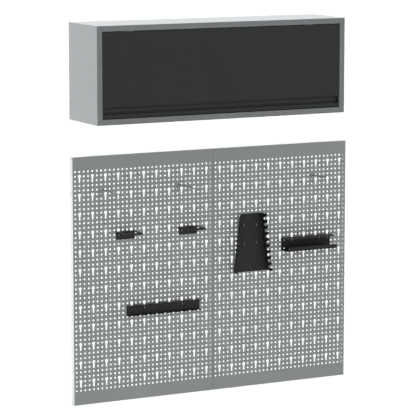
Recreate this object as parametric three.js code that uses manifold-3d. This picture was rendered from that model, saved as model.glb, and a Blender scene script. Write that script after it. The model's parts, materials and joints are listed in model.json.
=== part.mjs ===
// Pegboard tool wall: a steel wall cabinet with a top-hinged flap door, above two
// perforated panels that carry wire hooks and sheet-steel tool holders.
// Millimetres. +X right, +Z up, the wall is the plane y = 0 and everything stands towards -Y.
// Origin: centre of the cabinet's rear face.
import * as THREE from 'three';
import { mergeVertices } from 'three/addons/utils/BufferGeometryUtils.js';
import Module from 'manifold-3d';

const wasm = await Module();
wasm.setup();

// ---- Driving dimensions ----
const CABINET_WIDTH = 1050;
const CABINET_HEIGHT = 366;
const CABINET_DEPTH = 253;
const CABINET_SHEET = 1.5;
const FRAME_FACE = 21;            // width of the front frame all round
const JAMB_DEPTH = 15;            // return of the frame into the cabinet
const REAR_FLANGE = 15;           // flange that the back sheet is fixed to
const CLEARANCE = 0.3;            // gap between touching pieces

const DOOR_GAP = 2.5;             // gap between the door and its frame
const DOOR_RECESS = 2;            // door face behind the frame face
const DOOR_THICKNESS = 18;
const DOOR_SHEET = 1.5;
const HANDLE_HEIGHT = 43;         // finger-pull profile along the lower edge
const CAP_WIDTH = 5;              // end caps of that profile

const HINGE_X = 380;              // hinges stand at plus and minus this
const HINGE_DROP = 10;            // hinge axis below the door's top edge
const HINGE_INSET = 7;            // hinge axis behind the door's face
const KNUCKLE_RADIUS = 4.5;
const HINGE_PIN_RADIUS = 2;

const STAY_X = 488;               // gas stays stand at plus and minus this
const STAY_BODY_Y = -128;         // pivot on the cabinet's side
const STAY_BODY_Z = 127;
const STAY_DOOR_DROP = 60;        // door pivot below the hinge axis
const STAY_DOOR_INSET = 14;       // door pivot behind the hinge axis

const PITCH = 18;                 // hole pitch, both ways
const COLUMNS = 33;
const ROWS = 48;
const PANEL_WIDTH = 598;
const PANEL_GAP = 0.5;            // between the two panels
const PANEL_MARGIN_Z = 56.5;      // plain band above and below the holes
const PANEL_DEPTH = 22;
const PANEL_SHEET = 1.2;
const PANEL_RETURN = 12;          // lips above and below that lie against the wall
const UNIT_GAP = 142;             // free wall between the cabinet and the pegboard

const KEY_HEAD_RADIUS = 6.5;      // keyhole: six-sided head with a slot below it
const KEY_SLOT_WIDTH = 6.5;
const KEY_SLOT_END = 24.75;       // slot end below the head's centre
const HOOK_HOLE_RADIUS = 3.9;

const STUD_SHANK_RADIUS = 2.9;
const STUD_HEAD_RADIUS = 5.2;
const STUD_RIVET_RADIUS = 4.2;
const PLATE = 1.5;                // sheet of the tool holders
const PLATE_GAP = 0.6;            // tool holder's back to the panel's face

const BOLT_SHANK_RADIUS = 2.9;
const BOLT_HEAD_RADIUS = 5.2;
const BOLT_SPAN = 344;            // bolts above and below the panel's mid-height

// ---- Derived places ----
const HALF_W = CABINET_WIDTH / 2;
const HALF_H = CABINET_HEIGHT / 2;
const FRONT = -CABINET_DEPTH;
const OPEN_X = HALF_W - FRAME_FACE;
const OPEN_Z = HALF_H - FRAME_FACE;
const DOOR_X = OPEN_X - DOOR_GAP;
const DOOR_Z = OPEN_Z - DOOR_GAP;
const DOOR_FRONT = FRONT + DOOR_RECESS;
const DOOR_REAR = DOOR_FRONT + DOOR_THICKNESS;
const DOOR_INNER = DOOR_FRONT + DOOR_SHEET;
const HINGE_Y = DOOR_FRONT + HINGE_INSET;
const HINGE_Z = DOOR_Z - HINGE_DROP;
const HANDLE_TOP = HANDLE_HEIGHT - DOOR_Z;

const PANEL_TOP = -HALF_H - UNIT_GAP;
const PANEL_HEIGHT = (ROWS - 1) * PITCH + 2 * PANEL_MARGIN_Z;
const PANEL_BOTTOM = PANEL_TOP - PANEL_HEIGHT;
const PANEL_MARGIN_X = (PANEL_WIDTH - (COLUMNS - 1) * PITCH) / 2;
const PANEL_FACE = -PANEL_DEPTH;
const PANEL_BACK_OF_FACE = PANEL_FACE + PANEL_SHEET;
const PANEL_LEFTS = [-HALF_W, -HALF_W + PANEL_WIDTH + PANEL_GAP];
const LEFT = 0;
const RIGHT = 1;
const STUD_DROP = KEY_SLOT_END - STUD_SHANK_RADIUS - CLEARANCE;

const columnX = (panel, column) => PANEL_LEFTS[panel] + PANEL_MARGIN_X + column * PITCH;
const rowZ = (row) => PANEL_TOP - PANEL_MARGIN_Z - row * PITCH;
const isKeyColumn = (column) => column % 3 === 1;
const isKeyRow = (row) => row % 4 === 1;

// ---- Materials ----
const finish = (color, roughness, metalness) => () =>
  new THREE.MeshStandardMaterial({ color, roughness, metalness });
const greyPaint = finish('#8f9394', 0.5, 0.1);
const blackPaint = finish('#333435', 0.45, 0.1);
const zincSteel = finish('#a9abad', 0.35, 0.9);
const blackSteel = finish('#1d1e1f', 0.4, 0.5);
const rubber = finish('#18191a', 0.85, 0);

// ---- Solids ----
function solid(geometry) {
  const bare = geometry.clone();
  bare.deleteAttribute('normal');
  bare.deleteAttribute('uv');
  const merged = mergeVertices(bare, 1e-4);
  return new wasm.Manifold(new wasm.Mesh({
    numProp: 3,
    vertProperties: new Float32Array(merged.attributes.position.array),
    triVerts: new Uint32Array(merged.index.array),
  }));
}

const root = new THREE.Group();

function addMesh(name, body, material) {
  const { vertProperties, triVerts } = body.getMesh();
  const geometry = new THREE.BufferGeometry();
  geometry.setAttribute('position', new THREE.BufferAttribute(vertProperties, 3));
  geometry.setIndex(new THREE.BufferAttribute(triVerts, 1));
  geometry.computeVertexNormals();
  const mesh = new THREE.Mesh(geometry, material());
  mesh.name = name;
  root.add(mesh);
}

function box(x0, x1, y0, y1, z0, z1) {
  const geometry = new THREE.BoxGeometry(x1 - x0, y1 - y0, z1 - z0);
  geometry.translate((x0 + x1) / 2, (y0 + y1) / 2, (z0 + z1) / 2);
  return solid(geometry);
}

const union = (...bodies) => bodies.reduce((whole, body) => whole.add(body));

// Local (u, v, depth) axes of an outline that is extruded along X, Y or Z.
const EXTRUDE_AXES = {
  x: [[0, 1, 0], [0, 0, 1], [1, 0, 0]],
  y: [[1, 0, 0], [0, 0, 1], [0, -1, 0]],
  z: [[1, 0, 0], [0, 1, 0], [0, 0, 1]],
};

// Extrudes an outline: along X it holds (y, z), along Y (x, z), along Z (x, y).
// 'from' and 'to' are places on the axis, in either order.
function prism(axis, outline, from, to, holes = []) {
  const shape = new THREE.Shape(outline.map(([u, v]) => new THREE.Vector2(u, v)));
  shape.holes = holes.map((hole) => new THREE.Path(hole.map(([u, v]) => new THREE.Vector2(u, v))));
  const low = Math.min(from, to);
  const high = Math.max(from, to);
  const geometry = new THREE.ExtrudeGeometry(shape, { depth: high - low, bevelEnabled: false });
  const [u, v, w] = EXTRUDE_AXES[axis].map((a) => new THREE.Vector3(...a));
  geometry.applyMatrix4(new THREE.Matrix4().makeBasis(u, v, w));
  const start = axis === 'y' ? high : low;
  geometry.translate(w.x ? start : 0, w.y ? start : 0, w.z ? start : 0);
  return solid(geometry);
}

function polygon(centreU, centreV, radius, sides) {
  return Array.from({ length: sides }, (_, i) => {
    const angle = ((i + 0.5) / sides) * 2 * Math.PI;
    return [centreU + radius * Math.cos(angle), centreV + radius * Math.sin(angle)];
  });
}

function rod(axis, u, v, from, to, radius, sides = 8) {
  return prism(axis, polygon(u, v, radius, sides), from, to);
}

// ---- Cabinet shell ----
// A side panel: sheet, front frame face, jamb return and rear flange, on the side x = sign.
function cabinetSide(sign) {
  const at = (a, b, y0, y1, z0, z1) => box(Math.min(sign * a, sign * b),
    Math.max(sign * a, sign * b), y0, y1, z0, z1);
  const jambEnd = HALF_H - CABINET_SHEET - CLEARANCE;
  const flangeEnd = HALF_H - REAR_FLANGE - CABINET_SHEET;
  const flangeBack = -CABINET_SHEET - CLEARANCE;
  return union(
    at(HALF_W - CABINET_SHEET, HALF_W, FRONT, 0, -HALF_H, HALF_H),
    at(OPEN_X, HALF_W, FRONT, FRONT + CABINET_SHEET, -HALF_H, HALF_H),
    at(OPEN_X, OPEN_X + CABINET_SHEET, FRONT, FRONT + JAMB_DEPTH, -jambEnd, jambEnd),
    at(HALF_W - REAR_FLANGE, HALF_W, flangeBack - CABINET_SHEET, flangeBack, -flangeEnd, flangeEnd),
  );
}

// A top (sign 1) or bottom (sign -1) panel, which fits between the side panels.
function cabinetCap(sign, jambDepth) {
  const at = (x, y0, y1, a, b) => box(-x, x, y0, y1, Math.min(sign * a, sign * b),
    Math.max(sign * a, sign * b));
  const sheetX = HALF_W - CABINET_SHEET - CLEARANCE;
  const faceX = OPEN_X - CLEARANCE;
  const behindFace = FRONT + CABINET_SHEET + CLEARANCE;
  const flangeX = HALF_W - REAR_FLANGE - CLEARANCE;
  const flangeBack = -CABINET_SHEET - CLEARANCE;
  return union(
    at(sheetX, behindFace, 0, HALF_H - CABINET_SHEET, HALF_H),
    at(faceX, FRONT, behindFace, HALF_H - CABINET_SHEET, HALF_H),
    at(faceX, FRONT, FRONT + CABINET_SHEET, OPEN_Z, HALF_H),
    at(faceX, FRONT, FRONT + jambDepth, OPEN_Z, OPEN_Z + CABINET_SHEET),
    at(flangeX, flangeBack - CABINET_SHEET, flangeBack, HALF_H - REAR_FLANGE, HALF_H),
  );
}

const STOP_HEIGHT = 12;           // upstand behind the door's lower edge
const STOP_GAP = 4;               // from the door's rear to that upstand
const STOP_Y = DOOR_REAR + STOP_GAP;

function cabinetBottom() {
  const upstand = box(-OPEN_X + CLEARANCE, OPEN_X - CLEARANCE, STOP_Y, STOP_Y + CABINET_SHEET,
    -OPEN_Z - CABINET_SHEET, -OPEN_Z + STOP_HEIGHT);
  return union(cabinetCap(-1, STOP_Y + CABINET_SHEET - FRONT), upstand);
}

// Keyhole outline: a six-sided head on its centre with a slot below.
function keyhole(x, z, headRadius, slotWidth, slotEnd) {
  const flat = headRadius * Math.sin(Math.PI / 3);
  return [
    [x + headRadius, z], [x + headRadius / 2, z + flat], [x - headRadius / 2, z + flat],
    [x - headRadius, z], [x - slotWidth / 2, z - flat], [x - slotWidth / 2, z - slotEnd],
    [x + slotWidth / 2, z - slotEnd], [x + slotWidth / 2, z - flat],
  ];
}

const HANG_X = 420;               // hanging keyholes and screw holes in the back sheet
const HANG_Z = 130;

function cabinetBack() {
  const x = HALF_W - CABINET_SHEET - CLEARANCE;
  const z = HALF_H - CABINET_SHEET - CLEARANCE;
  const outline = [[-x, -z], [x, -z], [x, z], [-x, z]];
  const holes = [-HANG_X, HANG_X].flatMap((hx) => [
    keyhole(hx, HANG_Z, 8, 8, 20),
    polygon(hx, -HANG_Z, 4, 8),
  ]);
  return prism('y', outline, -CABINET_SHEET, 0, holes);
}

function buildCabinet() {
  addMesh('cabinet_side_left', cabinetSide(-1), greyPaint);
  addMesh('cabinet_side_right', cabinetSide(1), greyPaint);
  addMesh('cabinet_top', cabinetCap(1, JAMB_DEPTH), greyPaint);
  addMesh('cabinet_bottom', cabinetBottom(), greyPaint);
  addMesh('cabinet_back', cabinetBack(), greyPaint);
}

// ---- Door ----
const HINGE_CUT = 34;             // half width of the cut-outs in the door's top fold

function doorPanel() {
  const bottom = HANDLE_TOP + 0.4;
  const fold = DOOR_SHEET;
  let tray = union(
    box(-DOOR_X, DOOR_X, DOOR_FRONT, DOOR_INNER, bottom, DOOR_Z),
    box(-DOOR_X, DOOR_X, DOOR_FRONT, DOOR_REAR, DOOR_Z - fold, DOOR_Z),
    box(-DOOR_X, -DOOR_X + fold, DOOR_FRONT, DOOR_REAR, bottom, DOOR_Z),
    box(DOOR_X - fold, DOOR_X, DOOR_FRONT, DOOR_REAR, bottom, DOOR_Z),
  );
  for (const x of [-HINGE_X, HINGE_X]) {
    tray = tray.subtract(box(x - HINGE_CUT, x + HINGE_CUT, DOOR_INNER, DOOR_REAR + 1,
      DOOR_Z - fold - 1, DOOR_Z + 1));
  }
  return tray;
}

const HANDLE_WALL = 1.5;
const RIB_DEPTH = 7.5;            // front of the profile's middle rib, behind the door face
const RIB_FOOT = 22;              // rib's lower and upper edges above the door's foot
const RIB_TOP = 35;
const LIP_TOP = 15.5;             // upstanding lip at the foot
const LIP_BEVEL = 2;

// Section (y, z) of the finger-pull profile, from the top edge down the front and up the back:
// a groove, a middle rib and a deeper groove behind the lip at its foot.
function handleSection() {
  const wall = HANDLE_WALL;
  const step = 1;
  const groove = 11;
  const at = (depth, height) => [DOOR_FRONT + depth, -DOOR_Z + height];
  return [
    at(0, HANDLE_HEIGHT), at(0, HANDLE_HEIGHT - wall), at(groove, HANDLE_HEIGHT - wall),
    at(groove, RIB_TOP + step), at(RIB_DEPTH, RIB_TOP), at(RIB_DEPTH, RIB_FOOT),
    at(groove, RIB_FOOT - step), at(groove, wall), at(LIP_BEVEL, wall),
    at(LIP_BEVEL, LIP_TOP - LIP_BEVEL), at(0, LIP_TOP), at(0, 0),
    at(DOOR_THICKNESS, 0), at(DOOR_THICKNESS, wall), at(groove + wall, wall),
    at(groove + wall, RIB_FOOT + wall - step), at(RIB_DEPTH + wall, RIB_FOOT + wall),
    at(RIB_DEPTH + wall, RIB_TOP - wall), at(groove + wall, RIB_TOP - wall + step),
    at(groove + wall, HANDLE_HEIGHT),
  ];
}

function buildDoor() {
  const handleX = DOOR_X - CAP_WIDTH - CLEARANCE;
  addMesh('door_panel', doorPanel(), blackPaint);
  addMesh('door_handle_profile', prism('x', handleSection(), -handleX, handleX), blackPaint);
  for (const [side, sign] of [['left', -1], ['right', 1]]) {
    const inner = sign * (DOOR_X - CAP_WIDTH);
    const outer = sign * DOOR_X;
    const cap = box(Math.min(inner, outer), Math.max(inner, outer), DOOR_FRONT, DOOR_REAR,
      -DOOR_Z, HANDLE_TOP);
    addMesh(`door_cap_${side}`, cap, blackPaint);
  }
}

const BUMPER_X = 440;
const BUMPER_RADIUS = 5;

function buildBumpers() {
  for (const [side, x] of [['left', -BUMPER_X], ['right', BUMPER_X]]) {
    const z = -OPEN_Z + STOP_HEIGHT - BUMPER_RADIUS - 0.5;
    const pad = rod('y', x, z, DOOR_REAR + 0.4, STOP_Y - CLEARANCE, BUMPER_RADIUS);
    addMesh(`bumper_${side}`, pad, rubber);
  }
}

// ---- Hinges ----
const EAR_INNER = 9.5;
const EAR_OUTER = 17;

function hingeBodyLeaf(x) {
  const armBack = DOOR_REAR + 7;
  const armX = [x - EAR_OUTER, x + EAR_OUTER];
  const arm = union(
    box(...armX, armBack - 12, armBack, HINGE_Z - 3.5, HINGE_Z + 1.5),
    box(...armX, armBack - 1.5, armBack, HINGE_Z - 3.5, HALF_H - CABINET_SHEET - CLEARANCE),
    box(x - 22, x + 22, armBack - 1.5, armBack + 26, HALF_H - 3.3, HALF_H - CABINET_SHEET - CLEARANCE),
  );
  const ears = [[-EAR_OUTER, -EAR_INNER], [EAR_INNER, EAR_OUTER]].map(([a, b]) => union(
    rod('x', HINGE_Y, HINGE_Z, x + a, x + b, KNUCKLE_RADIUS),
    box(x + a, x + b, HINGE_Y, armBack - 11, HINGE_Z - 3.5, HINGE_Z + 1.5),
  ));
  const bore = rod('x', HINGE_Y, HINGE_Z, x - 30, x + 30, HINGE_PIN_RADIUS + 0.4);
  return union(arm, ...ears).subtract(bore);
}

function hingeDoorLeaf(x) {
  const face = DOOR_INNER + CLEARANCE;
  const half = EAR_INNER - 0.5;
  const leaf = union(
    box(x - 24, x + 24, face, face + 1.3, HINGE_Z - 40, HINGE_Z - 5.5),
    box(x - half, x + half, face, HINGE_Y, HINGE_Z - 6, HINGE_Z + 4),
    rod('x', HINGE_Y, HINGE_Z, x - half, x + half, KNUCKLE_RADIUS),
  );
  return leaf.subtract(rod('x', HINGE_Y, HINGE_Z, x - 30, x + 30, HINGE_PIN_RADIUS + 0.4));
}

function buildHinges() {
  for (const [side, x] of [['left', -HINGE_X], ['right', HINGE_X]]) {
    addMesh(`hinge_body_leaf_${side}`, hingeBodyLeaf(x), zincSteel);
    addMesh(`hinge_door_leaf_${side}`, hingeDoorLeaf(x), zincSteel);
    const pin = rod('x', HINGE_Y, HINGE_Z, x - EAR_OUTER - 2, x + EAR_OUTER + 2, HINGE_PIN_RADIUS);
    addMesh(`hinge_pin_${side}`, pin, zincSteel);
  }
}

// ---- Gas stays ----
const STAY_DOOR_Y = HINGE_Y + STAY_DOOR_INSET;
const STAY_DOOR_Z = HINGE_Z - STAY_DOOR_DROP;
const STAY_LENGTH = Math.hypot(STAY_DOOR_Y - STAY_BODY_Y, STAY_DOOR_Z - STAY_BODY_Z);
const STAY_ANGLE = Math.atan2(STAY_DOOR_Z - STAY_BODY_Z, STAY_DOOR_Y - STAY_BODY_Y);
const STAY_EYE_HALF = 3;          // half thickness of the eyes
const CYLINDER_RADIUS = 6.5;
const CYLINDER_END = 96;          // mouth of the cylinder, from its pivot
const ROD_START = 17;             // inner end of the closed rod, from the same pivot
const ROD_RADIUS = 2.8;

// A piece drawn along local +Y from the body pivot, turned into the stay's rest line.
function alongStay(body, x) {
  return body.rotate([THREE.MathUtils.radToDeg(STAY_ANGLE), 0, 0])
    .translate([x, STAY_BODY_Y, STAY_BODY_Z]);
}

function eye(y, boreRadius) {
  return prism('x', polygon(y, 0, 6.5, 10), -STAY_EYE_HALF, STAY_EYE_HALF,
    [polygon(y, 0, boreRadius, 8)]);
}

function stayCylinder(x) {
  const tube = rod('y', 0, 0, 10, CYLINDER_END, CYLINDER_RADIUS, 10)
    .subtract(rod('y', 0, 0, ROD_START - 3, CYLINDER_END + 1, ROD_RADIUS + 0.5));
  const neck = box(-STAY_EYE_HALF, STAY_EYE_HALF, 5, 11, -4, 4);
  return alongStay(union(eye(0, 3.4), neck, tube), x);
}

function stayRod(x) {
  const shaft = rod('y', 0, 0, ROD_START, STAY_LENGTH - 5, ROD_RADIUS);
  return alongStay(union(eye(STAY_LENGTH, 3.4), shaft), x);
}

function stayBodyBracket(sign) {
  const wall = HALF_W - CABINET_SHEET - CLEARANCE;
  const xs = (a, b) => [Math.min(sign * a, sign * b), Math.max(sign * a, sign * b)];
  const base = box(...xs(wall - 1.8, wall), STAY_BODY_Y - 18, STAY_BODY_Y + 18,
    STAY_BODY_Z - 14, STAY_BODY_Z + 14);
  const boss = rod('x', STAY_BODY_Y, STAY_BODY_Z, ...xs(STAY_X + 4.5, wall - 1), 6.5);
  const pin = rod('x', STAY_BODY_Y, STAY_BODY_Z, ...xs(STAY_X - 4.5, wall - 1), 2.9);
  return union(base, boss, pin);
}

function stayDoorBracket(sign) {
  const xs = (a, b) => [Math.min(sign * a, sign * b), Math.max(sign * a, sign * b)];
  const face = DOOR_INNER + CLEARANCE;
  const ear = STAY_X + 4.5;
  return union(
    box(...xs(ear - 22, ear + 2), face, face + 1.8, STAY_DOOR_Z - 15, STAY_DOOR_Z + 15),
    box(...xs(ear, ear + 2), face, STAY_DOOR_Y + 7, STAY_DOOR_Z - 8, STAY_DOOR_Z + 8),
    rod('x', STAY_DOOR_Y, STAY_DOOR_Z, ...xs(ear - 1, ear + 1), 5),
  );
}

function buildStays() {
  for (const [side, sign] of [['left', -1], ['right', 1]]) {
    addMesh(`stay_body_bracket_${side}`, stayBodyBracket(sign), zincSteel);
    addMesh(`stay_cylinder_${side}`, stayCylinder(sign * STAY_X), blackSteel);
    addMesh(`stay_rod_${side}`, stayRod(sign * STAY_X), zincSteel);
    addMesh(`stay_door_bracket_${side}`, stayDoorBracket(sign), zincSteel);
  }
}

// ---- Perforated panels ----
// Wire hooks: the hole that each hangs in, and how far it reaches from the panel.
const HOOKS = [
  { name: 'hook_long', panel: LEFT, column: 6, row: 4, reach: 222 },
  { name: 'hook_medium', panel: LEFT, column: 24, row: 4, reach: 172 },
  { name: 'hook_short', panel: RIGHT, column: 24, row: 4, reach: 114 },
];

function panelFace(panel) {
  const x0 = PANEL_LEFTS[panel];
  const x1 = x0 + PANEL_WIDTH;
  const outline = [[x0, PANEL_BOTTOM], [x1, PANEL_BOTTOM], [x1, PANEL_TOP], [x0, PANEL_TOP]];
  const holes = [];
  for (let column = 0; column < COLUMNS; column += 1) {
    for (let row = 0; row < ROWS; row += 1) {
      if (isKeyColumn(column) && isKeyRow(row)) {
        holes.push(keyhole(columnX(panel, column), rowZ(row), KEY_HEAD_RADIUS,
          KEY_SLOT_WIDTH, KEY_SLOT_END));
      }
    }
  }
  for (const hook of HOOKS.filter((h) => h.panel === panel)) {
    holes.push(polygon(columnX(panel, hook.column), rowZ(hook.row), HOOK_HOLE_RADIUS, 8));
  }
  return prism('y', outline, PANEL_FACE, PANEL_BACK_OF_FACE, holes);
}

function boltHeights() {
  const middle = (PANEL_TOP + PANEL_BOTTOM) / 2;
  return { upper: middle + BOLT_SPAN, lower: middle - BOLT_SPAN };
}

function pegboard(panel) {
  const x0 = PANEL_LEFTS[panel];
  const x1 = x0 + PANEL_WIDTH;
  const t = PANEL_SHEET;
  const body = union(
    panelFace(panel),
    box(x0, x0 + t, PANEL_FACE, 0, PANEL_BOTTOM, PANEL_TOP),
    box(x1 - t, x1, PANEL_FACE, 0, PANEL_BOTTOM, PANEL_TOP),
    box(x0, x1, PANEL_FACE, 0, PANEL_TOP - t, PANEL_TOP),
    box(x0, x1, PANEL_FACE, 0, PANEL_BOTTOM, PANEL_BOTTOM + t),
    box(x0, x1, -t, 0, PANEL_TOP - PANEL_RETURN, PANEL_TOP),
    box(x0, x1, -t, 0, PANEL_BOTTOM, PANEL_BOTTOM + PANEL_RETURN),
  );
  const boltHoles = Object.values(boltHeights()).flatMap((z) => [
    rod('x', PANEL_FACE / 2, z, x0 - 1, x0 + t + 1, BOLT_SHANK_RADIUS + 0.5),
    rod('x', PANEL_FACE / 2, z, x1 - t - 1, x1 + 1, BOLT_SHANK_RADIUS + 0.5),
  ]);
  return boltHoles.reduce((rest, hole) => rest.subtract(hole), body);
}

// A bolt along +X whose head sits left of 'under', with its nut starting at 'nutAt'.
function addBolt(kind, level, z, under, nutAt) {
  const y = PANEL_FACE / 2;
  const bolt = union(
    rod('x', y, z, under - 2.4, under, BOLT_HEAD_RADIUS, 10),
    rod('x', y, z, under - 0.5, nutAt + 6, BOLT_SHANK_RADIUS),
  );
  const nut = prism('x', polygon(y, z, 5.6, 6), nutAt, nutAt + 4.5,
    [polygon(y, z, BOLT_SHANK_RADIUS + 0.4, 8)]);
  addMesh(`${kind}_bolt_${level}`, bolt, zincSteel);
  addMesh(`${kind}_nut_${level}`, nut, zincSteel);
}

function buildPegboards() {
  addMesh('pegboard_left', pegboard(LEFT), greyPaint);
  addMesh('pegboard_right', pegboard(RIGHT), greyPaint);
  const edge = PANEL_LEFTS[LEFT];
  const seam = PANEL_LEFTS[RIGHT];
  for (const [level, z] of Object.entries(boltHeights())) {
    addBolt('edge', level, z, edge - CLEARANCE, edge + PANEL_SHEET + CLEARANCE);
    addBolt('joining', level, z, seam - PANEL_GAP - PANEL_SHEET - CLEARANCE,
      seam + PANEL_SHEET + CLEARANCE);
  }
}

// ---- Studs that hang a tool holder in the keyhole slots ----
const PLATE_BACK = PANEL_FACE - PLATE_GAP;
const PLATE_FRONT = PLATE_BACK - PLATE;

const studZ = (keyRow) => rowZ(keyRow) - STUD_DROP;

function stud(x, z) {
  const headNear = PANEL_BACK_OF_FACE + 0.4;
  return union(
    rod('y', x, z, PLATE_FRONT - CLEARANCE, PLATE_FRONT - CLEARANCE - 1.6, STUD_RIVET_RADIUS),
    rod('y', x, z, PLATE_FRONT - CLEARANCE - 0.5, headNear + 0.5, STUD_SHANK_RADIUS),
    rod('y', x, z, headNear, headNear + 2, STUD_HEAD_RADIUS),
  );
}

// Cuts a holder's stud holes, adds it, and adds one stud for each place.
function addHolder(name, body, places) {
  const drilled = places.reduce((rest, { x, z }) => rest.subtract(
    rod('y', x, z, PLATE_FRONT - 1, PLATE_BACK + 1, STUD_SHANK_RADIUS + 0.5)), body);
  addMesh(name, drilled, blackPaint);
  places.forEach(({ x, z }, i) => addMesh(`${name}_stud_${i + 1}`, stud(x, z), zincSteel));
}

// ---- Plier holders: a short plate with a windowed shelf at its top edge ----
const PLIER_WIDTH = 78;
const PLIER_HEIGHT = 32.5;
const PLIER_REACH = 80;
const PLIER_LIP = 6;
const PLIER_KEY_ROW = 13;

function addPlierHolder(name, columns) {
  const x = (columnX(LEFT, columns[0]) + columnX(LEFT, columns[1])) / 2;
  const half = PLIER_WIDTH / 2;
  const top = studZ(PLIER_KEY_ROW) + PLIER_HEIGHT / 2;
  const tip = PLATE_BACK - PLIER_REACH;
  const window = box(x - half + 11, x + half - 11, tip + 14, PLATE_FRONT - 12, top - 5, top + 5);
  const shelf = box(x - half, x + half, tip, PLATE_BACK, top - PLATE, top).subtract(window);
  const body = union(
    box(x - half, x + half, PLATE_FRONT, PLATE_BACK, top - PLIER_HEIGHT, top),
    shelf,
    box(x - half, x + half, tip, tip + PLATE, top - PLIER_LIP, top),
  );
  addHolder(name, body, columns.map((c) => ({ x: columnX(LEFT, c), z: studZ(PLIER_KEY_ROW) })));
}

// ---- Screwdriver rack: a channel whose two flanges have half-round notches ----
const RACK_WIDTH = 314;
const RACK_HEIGHT = 40;
const RACK_REACH = 22;
const RACK_NOTCHES = 9;
const RACK_NOTCH_PITCH = 35;
const RACK_NOTCH_RADIUS = 9;
const RACK_KEY_ROW = 29;
const RACK_COLUMNS = [16, 25];

function notchedFlange(x, z) {
  const half = RACK_WIDTH / 2;
  const tip = PLATE_BACK - RACK_REACH;
  const outline = [[x - half, PLATE_BACK], [x - half, tip]];
  for (let i = 0; i < RACK_NOTCHES; i += 1) {
    const centre = x + (i - (RACK_NOTCHES - 1) / 2) * RACK_NOTCH_PITCH;
    for (let k = 0; k <= 6; k += 1) {
      const angle = Math.PI - (k / 6) * Math.PI;
      outline.push([centre + RACK_NOTCH_RADIUS * Math.cos(angle),
        tip + 0.001 + RACK_NOTCH_RADIUS * Math.sin(angle)]);
    }
  }
  outline.push([x + half, tip], [x + half, PLATE_BACK]);
  return prism('z', outline, z, z + PLATE);
}

function addScrewdriverRack() {
  const x = (columnX(LEFT, RACK_COLUMNS[0]) + columnX(LEFT, RACK_COLUMNS[1])) / 2;
  const top = studZ(RACK_KEY_ROW) + 12;
  const plate = box(x - RACK_WIDTH / 2, x + RACK_WIDTH / 2, PLATE_FRONT, PLATE_BACK,
    top - RACK_HEIGHT, top);
  const body = union(plate, notchedFlange(x, top - PLATE), notchedFlange(x, top - RACK_HEIGHT));
  addHolder('screwdriver_rack', body, RACK_COLUMNS.map((c) => ({
    x: columnX(LEFT, c), z: studZ(RACK_KEY_ROW),
  })));
}

// ---- Spanner holder: a tapered plate with slanting slots in its side flanges ----
const SPANNER_TOP_WIDTH = 93;
const SPANNER_BOTTOM_WIDTH = 148;
const SPANNER_HEIGHT = 231;
const SPANNER_REACH = 42;
const SPANNER_FLARE = 5;          // how far the flanges' free edges stand outwards
const SPANNER_SLOTS = 9;
const SPANNER_SLOT_PITCH = 24.4;
const SPANNER_SLOT_MOUTH = 15;    // height of a slot at the free edge
const SPANNER_SLOT_FLOOR = 9;     // and at its inner end
const SPANNER_SLOT_DEPTH = 24;
const SPANNER_SLOT_FALL = 10;     // top of the inner end below the top of the mouth
const SPANNER_FIRST_MOUTH = 8;    // from the top edge down to the first slot's mouth
const SPANNER_TOP_OFFSET = 46.5;  // top edge above the upper studs
const SPANNER_KEY_ROWS = [13, 17];
const SPANNER_COLUMNS = [7, 10];

// Flange outline (y, distance down from the top edge, negative), slots cut from the free edge.
function toothedOutline(length) {
  const tip = PLATE_BACK - SPANNER_REACH;
  const outline = [[PLATE_BACK, 0], [tip, 0]];
  for (let i = 0; i < SPANNER_SLOTS; i += 1) {
    const mouth = -SPANNER_FIRST_MOUTH - i * SPANNER_SLOT_PITCH;
    const floor = tip + SPANNER_SLOT_DEPTH;
    outline.push([tip, mouth], [floor, mouth - SPANNER_SLOT_FALL],
      [floor, mouth - SPANNER_SLOT_FALL - SPANNER_SLOT_FLOOR], [tip, mouth - SPANNER_SLOT_MOUTH]);
  }
  outline.push([tip, -length], [PLATE_BACK, -length]);
  return outline.reverse();
}

function addSpannerHolder() {
  const x = (columnX(RIGHT, SPANNER_COLUMNS[0]) + columnX(RIGHT, SPANNER_COLUMNS[1])) / 2;
  const top = studZ(SPANNER_KEY_ROWS[0]) + SPANNER_TOP_OFFSET;
  const topHalf = SPANNER_TOP_WIDTH / 2;
  const bottomHalf = SPANNER_BOTTOM_WIDTH / 2;
  const bottom = top - SPANNER_HEIGHT;
  const slope = (bottomHalf - topHalf) / SPANNER_HEIGHT;
  const inset = PLATE / 2;
  const plate = prism('y', [[x - bottomHalf + inset, bottom], [x + bottomHalf - inset, bottom],
    [x + topHalf - inset, top], [x - topHalf + inset, top]], PLATE_FRONT, PLATE_BACK);
  const flare = SPANNER_FLARE / SPANNER_REACH;
  const flange = (from, to, side) => prism('x', toothedOutline(SPANNER_HEIGHT), from, to)
    .transform([1, 0, 0, 0, -side * flare, 1, 0, 0, -side * slope, 0, 1, 0, 0, 0, 0, 1])
    .translate([x + side * (topHalf + flare * PLATE_BACK), 0, top]);
  const rightFlange = flange(-PLATE, 0, 1);
  const leftFlange = flange(0, PLATE, -1);
  const places = SPANNER_KEY_ROWS.flatMap((row) => SPANNER_COLUMNS.map((c) => ({
    x: columnX(RIGHT, c), z: studZ(row),
  })));
  addHolder('spanner_holder', union(plate, rightFlange, leftFlange), places);
}

// ---- Drill tray: a drilled top flange over a lipped lower shelf ----
const TRAY_WIDTH = 222;
const TRAY_HEIGHT = 50;
const TRAY_TOP_REACH = 48;
const TRAY_SHELF_REACH = 57;
const TRAY_LIP = 17;
const TRAY_HOLES = 9;
const TRAY_HOLE_PITCH = 22;
const TRAY_HOLE_RADIUS = 5;
const TRAY_KEY_ROW = 17;
const TRAY_COLUMNS = [19, 28];
const TRAY_CENTRE_COLUMN = 22.5;

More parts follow.
